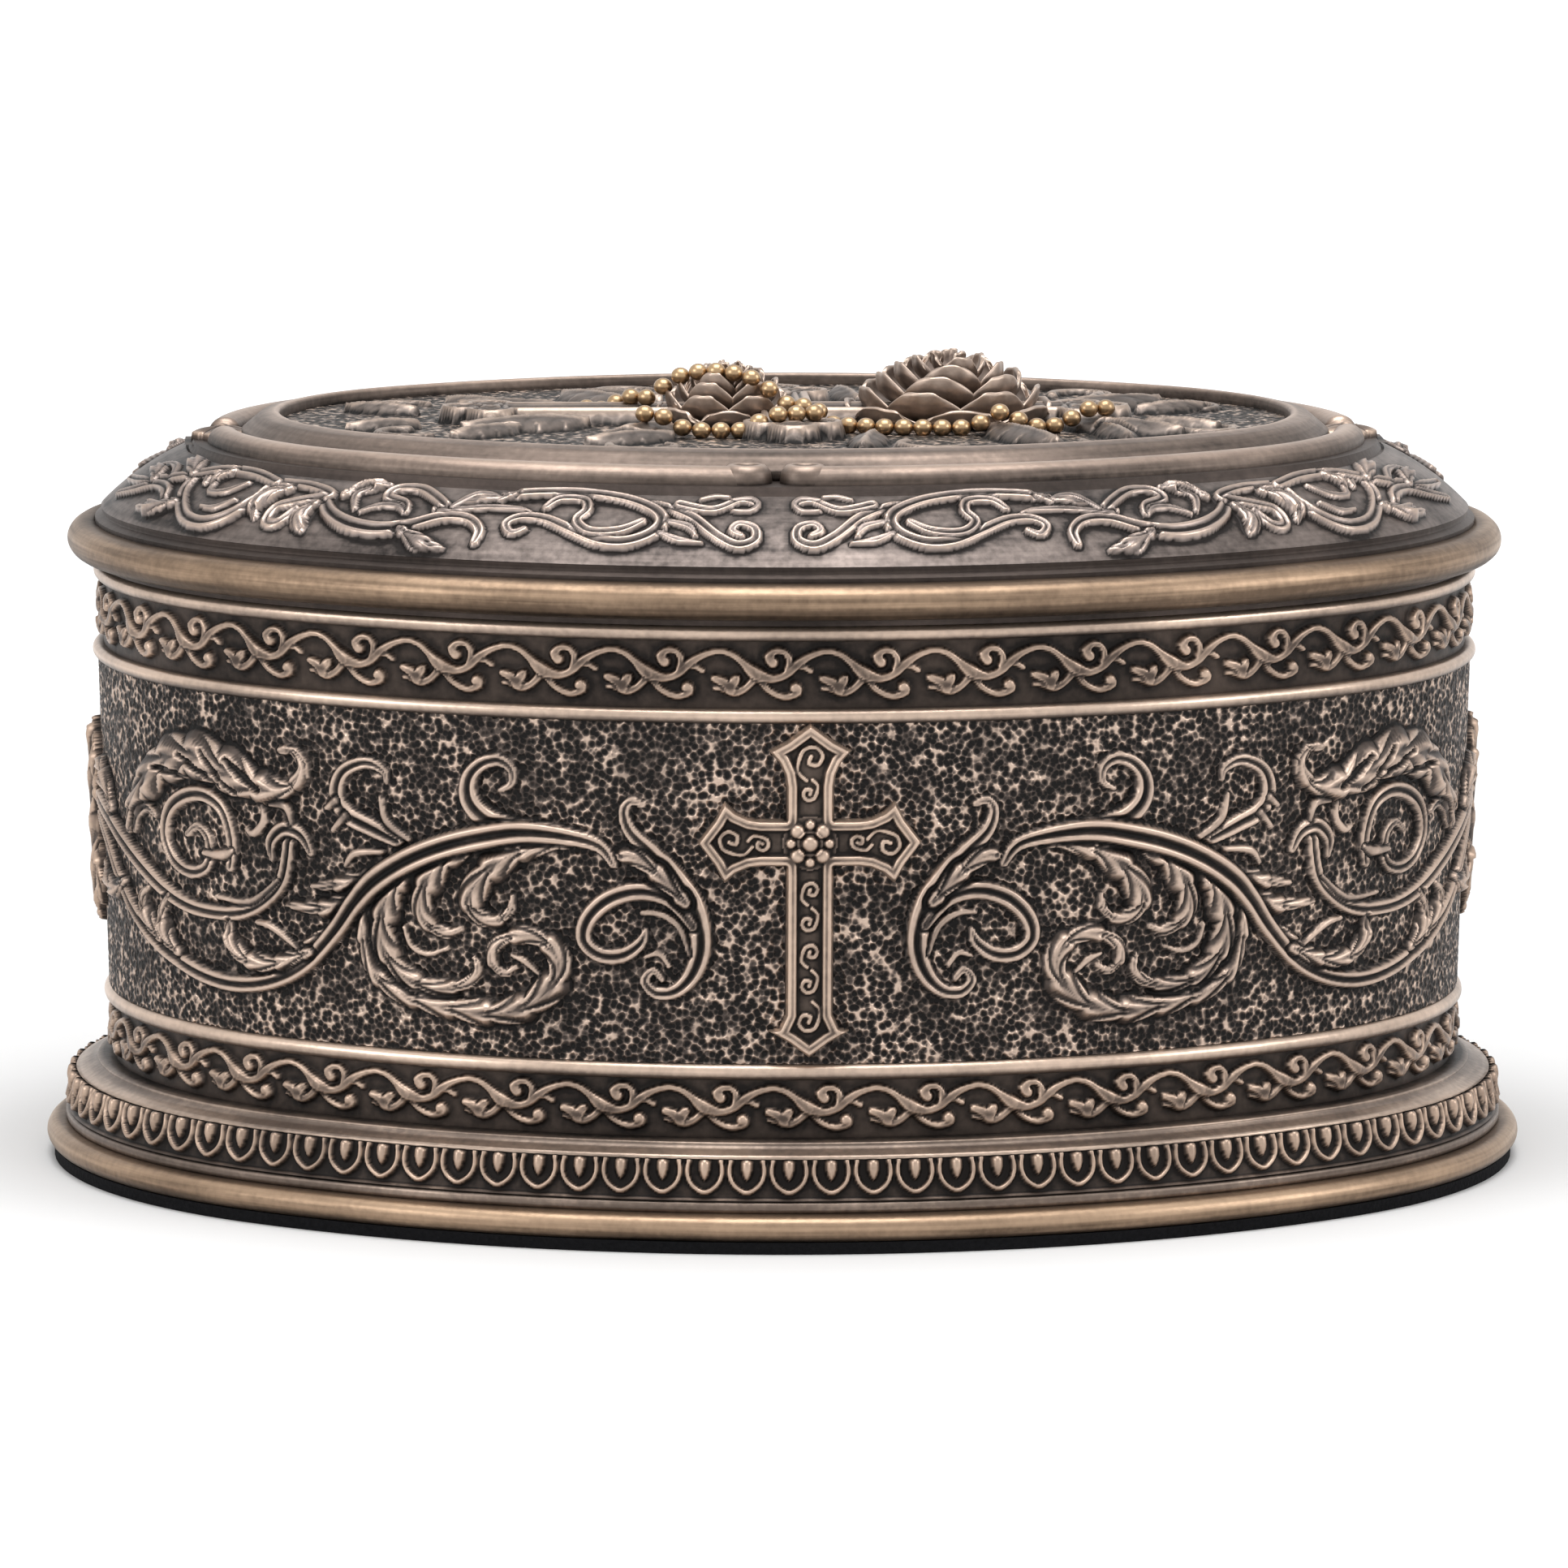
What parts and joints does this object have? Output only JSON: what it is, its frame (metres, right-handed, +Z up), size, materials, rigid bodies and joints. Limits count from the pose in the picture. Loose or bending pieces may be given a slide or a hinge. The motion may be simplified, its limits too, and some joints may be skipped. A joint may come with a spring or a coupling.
{
  "type": "rosary box",
  "caption": "Oval cast-relief keepsake box with a lift-off lid, crosses and leaf scrolls on its stippled wall, blooms and bead strings on the lid, and a felt base.",
  "frame": {"origin": "centre of the felt base on the surface it rests on", "axes": "+X along the oval's length to the right as seen from the front, -Y towards the front, +Z up; metres"},
  "size_m": [0.1276, 0.0996, 0.0697],
  "materials": {
    "bronze": "antiqued bronze with rubbed ridges",
    "dark_bronze": "dark antiqued bronze",
    "pale_bronze": "pale rubbed bronze",
    "gold_bronze": "warm gold-bronze, satin",
    "felt": "black felt"
  },
  "bodies": {
    "box": {"felt_pad": "felt", "foot_moulding": "bronze", "egg_and_dart": "pale_bronze", "box_shell": "dark_bronze", "lower_band": "dark_bronze", "lower_vine": "pale_bronze", "lower_bead_ring": "bronze", "upper_bead_ring": "bronze", "upper_band": "dark_bronze", "upper_vine": "pale_bronze", "mouth_moulding": "bronze", "front_cross": "pale_bronze", "front_rosette": "pale_bronze", "back_cross": "pale_bronze", "back_rosette": "pale_bronze", "scroll_front_right": "bronze", "scroll_front_left": "bronze", "scroll_back_right": "bronze", "scroll_back_left": "bronze", "end_palmette_right": "bronze", "end_palmette_left": "bronze"},
    "lid": {"lid_shell": "dark_bronze", "lid_rim": "gold_bronze", "lid_plate": "bronze", "lid_scroll_right": "bronze", "lid_scroll_left": "bronze", "lid_scroll_back_right": "bronze", "lid_scroll_back_left": "bronze", "frame_front_right": "bronze", "frame_front_left": "bronze", "frame_back_right": "bronze", "frame_back_left": "bronze", "end_flower_right": "pale_bronze", "end_flower_left": "pale_bronze", "recess_rim_ring": "bronze", "recess_ground": "dark_bronze", "lid_cross": "bronze", "large_bloom": "pale_bronze", "small_bloom": "pale_bronze", "lid_leaves": "bronze", "bead_string": "gold_bronze"}
  },
  "joints": [
    {"name": "lid_lift", "type": "slide", "parent": "box", "child": "lid", "axis": [0, 0, 1], "range_m": [0, 0.06]}
  ]
}
